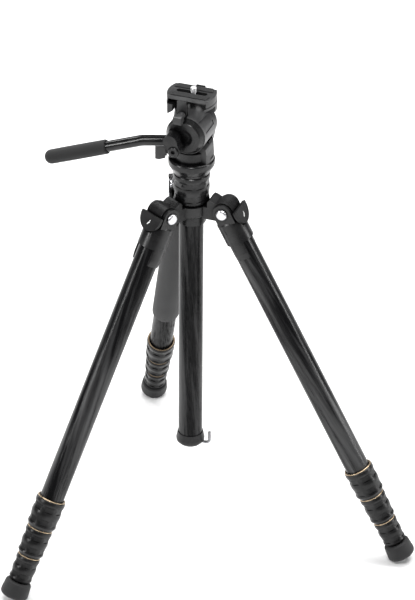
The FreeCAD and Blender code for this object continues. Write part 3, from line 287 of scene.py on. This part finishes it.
def soft_material(name, color, roughness, cells, depth, sheen):
    """Rubber or foam: fine open cells, dusty lighter patches and a soft sheen at grazing angles."""
    shader = Shader(name, color, roughness, specular=0.3)
    shader.put(shader.surface, "Sheen Weight", sheen)
    shader.put(shader.surface, "Sheen Roughness", 0.6)
    here = shader.coordinates()
    pores = shader.voronoi(here, cells)
    dust = shader.noise(here, 38, 4, 0.6)
    speckle = shader.noise(here, cells * 1.7, 2)
    dusty = shader.spread(dust, 0, 1, 0.3, 0.75)
    shader.use("Base Color", shader.color_between(dusty, shade(color, 0.86), shade(color, 1.16)))
    shader.use("Roughness", shader.spread(speckle, roughness - 0.08, roughness + 0.04))
    shader.bump((pores, 0.5, depth), (speckle, 0.35, depth * 0.6), (dust, 0.1, 0.2))
    return shader.material


MATERIALS = {
    "cast": satin_metal("cast_black", (0.0065, 0.0065, 0.0068), 0.3, specular=0.42),
    # painted shade: a darker, duller copy of the casting finish for the rear leg
    "cast_painted_shade": satin_metal("cast_painted_shade", (0.004, 0.004, 0.0042), 0.36, specular=0.25),
    "anodised": satin_metal("anodised_black", (0.0055, 0.0055, 0.0058), 0.26, specular=0.42),
    "collar": satin_metal("collar_black", (0.0035, 0.0035, 0.0037), 0.34, specular=0.36),
    # painted shade: a darker, duller copy of the collar finish for the rear leg
    "anodised_painted_shade": satin_metal("anodised_painted_shade", (0.003, 0.003, 0.0031), 0.3, specular=0.2),
    "drum": satin_metal("drum_black", (0.017, 0.017, 0.0175), 0.36, specular=0.55),
    # painted light: the black tilt cone is given a much lighter grey and only a short crease-shade reach,
    # standing in for the light on it
    "cone": satin_metal("cone_painted_light", (0.042, 0.042, 0.043), 0.42, specular=0.7, reach=3),
    "tab": satin_metal("tab_black", (0.006, 0.006, 0.0062), 0.45, specular=0.3),
    "knob": satin_metal("knob_grey", (0.024, 0.024, 0.0245), 0.36),
    "plate": satin_metal("plate_grey", (0.02, 0.02, 0.0205), 0.36, specular=0.5),
    "handle": satin_metal("handle_black", (0.003, 0.003, 0.0032), 0.2, specular=0.4),
    "plastic": satin_metal("plastic_black", (0.008, 0.008, 0.0085), 0.42, grain=1.6, specular=0.35),
    "mark": satin_metal("mark_white", (0.72, 0.72, 0.72), 0.5),
    "bright": bare_metal("bright_screw", (0.95, 0.95, 0.96), 0.42),
    "chrome": bare_metal("chrome", (0.72, 0.72, 0.74), 0.3),
    "dark_steel": bare_metal("dark_steel", (0.26, 0.26, 0.27), 0.3),
    "steel": bare_metal("steel", (0.62, 0.62, 0.64), 0.27, (1, 1, 0.1)),
    "gold": bare_metal("champagne_gold", (0.52, 0.40, 0.27), 0.36),
    # painted shade: a darker copy of the gold for the rear leg's rings
    "gold_painted_shade": bare_metal("gold_painted_shade", (0.20, 0.15, 0.10), 0.4),
    "rubber": soft_material("rubber_dark", (0.011, 0.011, 0.0115), 0.7, 1500, 0.05, 0.08),
    "pad": soft_material("pad_rubber", (0.012, 0.012, 0.0125), 0.7, 1800, 0.04, 0.06),
    "foam": soft_material("foam_grey", (0.021, 0.021, 0.0215), 0.9, 1300, 0.14, 0.12),
    "grip": soft_material("grip_foam", (0.0085, 0.0085, 0.0088), 0.75, 1500, 0.08, 0.08),
    "carbon_column": carbon("carbon_column", COLUMN_FRAME, 0.62),
}
# painted shade: the rear leg's carbon has its lighter fibres and shine scaled down to a quarter
for leg in LEGS:
    MATERIALS[f"carbon_{leg}"] = carbon(f"carbon_{leg}", LEG_FRAMES[leg], 0.25 if leg == REAR_LEG else 1.0)


# ---------------------------------------------------------------- CAD nodes

def finish_node(node, material, bevel=0.3, segments=2, angle=32):
    """A material, and softened edges that catch the light, on a CAD node that stays."""
    thing = NODES[node]
    thing.data.materials.clear()
    thing.data.materials.append(MATERIALS[material])
    for polygon in thing.data.polygons:
        polygon.use_smooth = True
    weld = thing.modifiers.new("weld", "WELD")
    weld.merge_threshold = 0.01 * MM
    if bevel:
        soften = thing.modifiers.new("soften", "BEVEL")
        soften.width = bevel * MM
        soften.segments = segments
        soften.limit_method = "ANGLE"
        soften.angle_limit = math.radians(angle)
        soften.use_clamp_overlap = True
        soften.harden_normals = True
    weighted = thing.modifiers.new("weighted", "WEIGHTED_NORMAL")
    weighted.keep_sharp = True


for leg in LEGS:
    # painted shade: the rear leg takes the darker copies of the casting and collar finishes
    rear = "_painted_shade" if leg == REAR_LEG else ""
    finish_node(f"{leg}_casting", f"cast{rear}", 0.7)
    finish_node(f"{leg}_lock_tab", "tab", 0.5)
    finish_node(f"{leg}_foot", "rubber", 0.4)
    for number in (1, 2, 3):
        finish_node(f"{leg}_collar_{number}", "anodised_painted_shade" if rear else "collar", 0.4)
    for number in (1, 2, 3, 4):
        finish_node(f"{leg}_tube_{number}", f"carbon_{leg}", 0)
NODE_LOOKS = (  # node, material, bevel in millimetres
    ("spider", "cast", 0.6), ("hinge_bolts", "chrome", 0.2), ("column_bushing", "plastic", 0.2),
    ("column_collar", "anodised", 0.6), ("column_tube", "carbon_column", 0),
    ("column_cap", "plastic", 0.5), ("weight_hook", "dark_steel", 0), ("column_plate", "anodised", 0.3),
    ("head_base", "anodised", 0.6), ("pan_spindle", "steel", 0.2), ("pan_base", "anodised", 0.4),
    ("yoke", "drum", 0.6), ("pan_knob", "knob", 0.9), ("tilt_axle", "anodised", 0.3),
    ("tilt_drum", "cone", 0.5), ("hub_cap", "anodised", 0.4), ("handle_bracket", "anodised", 0.7),
    ("handle_clamp_screw", "anodised", 0.3), ("handle_tube", "handle", 0), ("clamp_body", "drum", 0.5),
    ("clamp_jaw", "drum", 0.4), ("clamp_knob", "knob", 0.9), ("quick_release_plate", "plate", 0.4),
    ("screw_clip", "steel", 0.1), ("camera_screw", "bright", 0.2), ("safety_button", "knob", 0.4),
    ("strap_ring", "dark_steel", 0.3), ("plate_pads", "pad", 0.2), ("handle_grip", "grip", 0.3),
    ("leg_grip", "foam", 0.3),
)
for node, material, bevel in NODE_LOOKS:
    finish_node(node, material, bevel)


# ---------------------------------------------------------------- new pieces

def piece_from(name, verts, faces, material, smooth=True):
    mesh = bpy.data.meshes.new(name)
    mesh.from_pydata([tuple(v) for v in verts], [], faces)
    mesh.validate()
    mesh.materials.append(MATERIALS[material])
    for polygon in mesh.polygons:
        polygon.use_smooth = smooth
    thing = bpy.data.objects.new(name, mesh)
    bpy.context.scene.collection.objects.link(thing)
    return thing


def lathe(name, outline, matrix, material, sides=64):
    """Turns a closed outline of (radius, height) corners in millimetres about the frame's Z."""
    verts = []
    for radius, height in outline:
        for step in range(sides):
            turn = math.tau * step / sides
            corner = Vector((radius * math.cos(turn), radius * math.sin(turn), height))
            verts.append(matrix @ (corner * MM))
    rows = len(outline)
    faces = []
    for row in range(rows):
        here, after = row * sides, (row + 1) % rows * sides
        for step in range(sides):
            following = (step + 1) % sides
            faces.append((here + step, here + following, after + following, after + step))
    return piece_from(name, verts, faces, material)


COLLAR_RADII = {1: 17.5, 2: 15.7, 3: 14.1}  # outer radius of the top edge, in millimetres


def gold_rings():
    """Thin champagne ring let into the top edge of every leg collar."""
    for leg in LEGS:
        for number, radius in COLLAR_RADII.items():
            top = span_along(f"{leg}_collar_{number}", LEG_FRAMES[leg])[1] / MM
            edge = radius - 1.0
            outline = [(edge - 1.5, top + 0.2), (edge - 0.4, top + 0.2), (edge, top - 0.15),
                       (edge + 0.2, top - 0.7), (edge - 0.6, top - 1.0), (edge - 1.5, top - 0.2)]
            # painted shade: the rear leg's rings take the darker gold
            material = "gold_painted_shade" if leg == REAR_LEG else "gold"
            ring = lathe(f"{leg}_ring_{number}", outline, LEG_FRAMES[leg], material)
            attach(ring, f"{leg}_twist_{number}")


QUARTER_TURN = 1.57
SLEEVE_BELLY = 0.12
SLEEVE_STEPS = 12
DOME_WALL = 3  # foam between the closed end and the bore


def soft_sleeve(name, node, matrix, bore, radius, round_top, round_end, material, closed_end):
    """A foam sleeve in place of a CAD node: soft rounded ends and a slight belly."""
    low, high = (value / MM for value in span_along(node, matrix))
    outline = [(bore, high - 0.2), (radius - round_top, high)]
    outline += [(radius - round_top * (1 - math.sin(turn)), high - round_top * (1 - math.cos(turn)))
                for turn in (0.4, 0.8, 1.2, QUARTER_TURN)]
    straight = high - low - round_top - round_end
    for step in range(1, SLEEVE_STEPS):
        along = step / SLEEVE_STEPS
        outline.append((radius + SLEEVE_BELLY * math.sin(math.pi * along),
                        high - round_top - straight * along))
    outline += [(radius - round_end * (1 - math.cos(turn)), low + round_end * (1 - math.sin(turn)))
                for turn in (0.0, 0.35, 0.7, 1.05, 1.35, QUARTER_TURN)]
    if closed_end:
        outline += [(0.01, low), (0.01, low + DOME_WALL), (bore, low + DOME_WALL)]
    else:
        outline.append((bore, low + 0.2))
    sleeve = lathe(name, outline, matrix, material)
    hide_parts(node)
    return sleeve


GRIP_RISE = math.radians(21.1)  # how far the grip slopes down from its mouth to its end


def handle_axis():
    """Z back along the handle grip towards its mouth, through the tip of its domed end."""
    along = Vector((math.cos(GRIP_RISE), 0, math.sin(GRIP_RISE)))
    points = [vertex.co for vertex in NODES["handle_grip"].data.vertices]
    reaches = [point.dot(along) for point in points]
    end = min(reaches)
    tip = [point for point, reach in zip(points, reaches) if reach < end + 0.05 * MM]
    y = Vector((0, 1, 0))
    return axes_matrix(y.cross(along), y, along, sum(tip, Vector()) / len(tip))


def slab(name, low_corners, high_corners, material):
    """A solid between two loops of as many corners each."""
    count = len(low_corners)
    faces = [tuple(reversed(range(count))), tuple(range(count, 2 * count))]
    faces += [(i, (i + 1) % count, count + (i + 1) % count, count + i) for i in range(count)]
    return piece_from(name, low_corners + high_corners, faces, material, smooth=False)


def joined(name, things):
    """One mesh from several pieces of one material."""
    mesh = bmesh.new()
    for thing in things:
        mesh.from_mesh(thing.data)
    whole = bpy.data.meshes.new(name)
    mesh.to_mesh(whole)
    mesh.free()
    whole.materials.append(things[0].data.materials[0])
    result = bpy.data.objects.new(name, whole)
    bpy.context.scene.collection.objects.link(result)
    for thing in things:
        data = thing.data
        bpy.data.objects.remove(thing)
        bpy.data.meshes.remove(data)
    return result


RIB_ROWS = 5
RIB_FIRST = 6.6
RIB_PITCH = 1.65
RIB_HALF_WIDTH = 0.45
RIB_HALF_LENGTH = 21.3
RIB_SHORTENING = 0.35  # each row outward is shorter by this at both ends, as the strips' corners are cut
RIB_FOOT = -0.2
RIB_TOP = 0.28


def pad_ribs():
    """Fine raised ribs along both rubber strips of the camera plate."""
    place = Matrix.Translation(Vector((COLUMN.x, 0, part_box("plate_pads")[1].z)))
    ribs = []
    for side in (1, -1):
        for row in range(RIB_ROWS):
            y = side * (RIB_FIRST + row * RIB_PITCH)
            reach = RIB_HALF_LENGTH - row * RIB_SHORTENING
            corners = [(-reach, y - RIB_HALF_WIDTH), (reach, y - RIB_HALF_WIDTH),
                       (reach, y + RIB_HALF_WIDTH), (-reach, y + RIB_HALF_WIDTH)]
            loops = [[place @ (Vector((*corner, z)) * MM) for corner in corners]
                     for z in (RIB_FOOT, RIB_TOP)]
            ribs.append(slab("rib", *loops, "pad"))
    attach(joined("pad_ribs", ribs), "plate")


THREAD_TURNS = 5
THREAD_PITCH = 1.27  # twenty threads to the inch
THREAD_ROOT = 3.0
THREAD_CREST = 3.34


def screw_thread():
    """Rolled thread on the part of the camera screw that stands above the plate."""
    centre = middle("camera_screw")
    place = Matrix.Translation(Vector((centre.x, centre.y, 0)))
    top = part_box("camera_screw")[1].z / MM - 0.9
    rings = []
    for turn in range(THREAD_TURNS):
        z = top - turn * THREAD_PITCH
        outline = [(THREAD_ROOT, z + 0.35), (THREAD_CREST, z), (THREAD_ROOT, z - 0.35)]
        rings.append(lathe("thread", outline, place, "bright", sides=40))
    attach(joined("camera_screw_thread", rings), "screw")


MARK_OUTLINE = ((-2.4, -2.6), (-1.1, -2.9), (1.7, 0.1), (2.3, 2.7), (1.1, 3.1), (0.6, 0.8))
MARK_FOOT = -0.5
MARK_TOP = 0.12
TAB_BEND = 16.4  # radius of the tab's round face


def tab_marks():
    """A plain white tick on each leg's angle tab, laid on the tab's round face."""
    for leg in LEGS:
        place = LEG_FRAMES[leg]
        points = local_points(f"{leg}_lock_tab", place)
        face = max(point.x for point in points) / MM
        z = (max(point.z for point in points) + min(point.z for point in points)) / 2 / MM
        loops = []
        for lift in (MARK_FOOT, MARK_TOP):
            reach = TAB_BEND + lift
            loops.append([place @ (Vector((face - TAB_BEND + reach * math.cos(y / TAB_BEND),
                                           reach * math.sin(y / TAB_BEND), z + up)) * MM)
                          for y, up in MARK_OUTLINE])
        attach(slab(f"{leg}_tab_mark", *loops, "mark"), f"{leg}_tab")


gold_rings()
tab_marks()
pad_ribs()
screw_thread()
leg_foam = soft_sleeve("leg_grip_foam", "leg_grip", LEG_FRAMES[REAR_LEG], bore=14.02, radius=16.5,
                       round_top=1.6, round_end=3.2, material="foam", closed_end=False)
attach(leg_foam, "leg_b_upper")
handle_foam = soft_sleeve("handle_grip_foam", "handle_grip", handle_axis(), bore=6.22, radius=8.25,
                          round_top=1.4, round_end=7.4, material="grip", closed_end=True)
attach(handle_foam, "handle")


# ---------------------------------------------------------------- studio

AZIMUTH = math.radians(19.487)
ELEVATION = math.radians(32.0)
ROLL = math.radians(0.466)
CAMERA_DISTANCE = 3.51357
LENS = 183.6
AIM_RIGHT = 18.97 * MM
AIM_HEIGHT = 301.96 * MM


def place_camera():
    """A long lens from the front right, 32 degrees above the horizon."""
    back = Vector((math.sin(AZIMUTH) * math.cos(ELEVATION), -math.cos(AZIMUTH) * math.cos(ELEVATION),
                   math.sin(ELEVATION)))
    right = Vector((math.cos(AZIMUTH), math.sin(AZIMUTH), 0))
    x = right * math.cos(ROLL) + back.cross(right) * math.sin(ROLL)
    target = COLUMN + right * AIM_RIGHT + Vector((0, 0, AIM_HEIGHT))
    data = bpy.data.cameras.new("camera")
    data.lens = LENS
    data.sensor_width = 36
    data.clip_end = 50
    camera = bpy.data.objects.new("camera", data)
    bpy.context.scene.collection.objects.link(camera)
    camera.matrix_world = axes_matrix(x, back.cross(x), back, target + back * CAMERA_DISTANCE)
    bpy.context.scene.camera = camera


FLOOR_REACH = 9


def floor():
    """A plain pale floor, faintly uneven in tone."""
    corners = [(x * FLOOR_REACH, y * FLOOR_REACH, 0) for x, y in ((-1, -1), (1, -1), (1, 1), (-1, 1))]
    shader = Shader("floor", (0.9, 0.9, 0.9), 0.9, specular=0.1)
    tint = shader.noise(shader.coordinates(), 3, 2)
    shader.use("Base Color", shader.color_between(tint, (0.88, 0.88, 0.88), (0.9, 0.9, 0.9)))
    MATERIALS["floor"] = shader.material
    plane = piece_from("studio_floor", corners, [(0, 1, 2, 3)], "floor", smooth=False)


LIGHTS_AIM = (0, 0, 0.3)
LIGHTS = (  # name, place, (width, height), watts
    ("top", (0.1, 0.9, 3.0), (3.0, 2.0), 130),
    ("front", (0.35, -1.3, 2.1), (0.5, 0.4), 22),
    ("key", (-1.5, -1.5, 1.5), (0.28, 1.7), 30),
    ("fill", (2.0, 0.45, 1.0), (0.28, 1.7), 22),
    ("rim", (-1.6, 0.9, 1.0), (0.3, 1.6), 12),
)
WORLD_STRENGTH = 0.16


def area_light(name, place, size, power):
    """A rectangular light that faces the middle of the object."""
    data = bpy.data.lights.new(name, "AREA")
    data.shape = "RECTANGLE"
    data.size, data.size_y = size
    data.energy = power
    light = bpy.data.objects.new(name, data)
    bpy.context.scene.collection.objects.link(light)
    light.location = place
    light.rotation_euler = (Vector(place) - Vector(LIGHTS_AIM)).to_track_quat("Z", "Y").to_euler()


def studio():
    world = bpy.data.worlds.new("studio")
    world.use_nodes = True
    background = world.node_tree.nodes["Background"]
    background.inputs["Color"].default_value = (1, 1, 1, 1)
    background.inputs["Strength"].default_value = WORLD_STRENGTH
    bpy.context.scene.world = world
    for light in LIGHTS:
        area_light(*light)
    bpy.context.scene.view_settings.view_transform = "Standard"


place_camera()
floor()
studio()
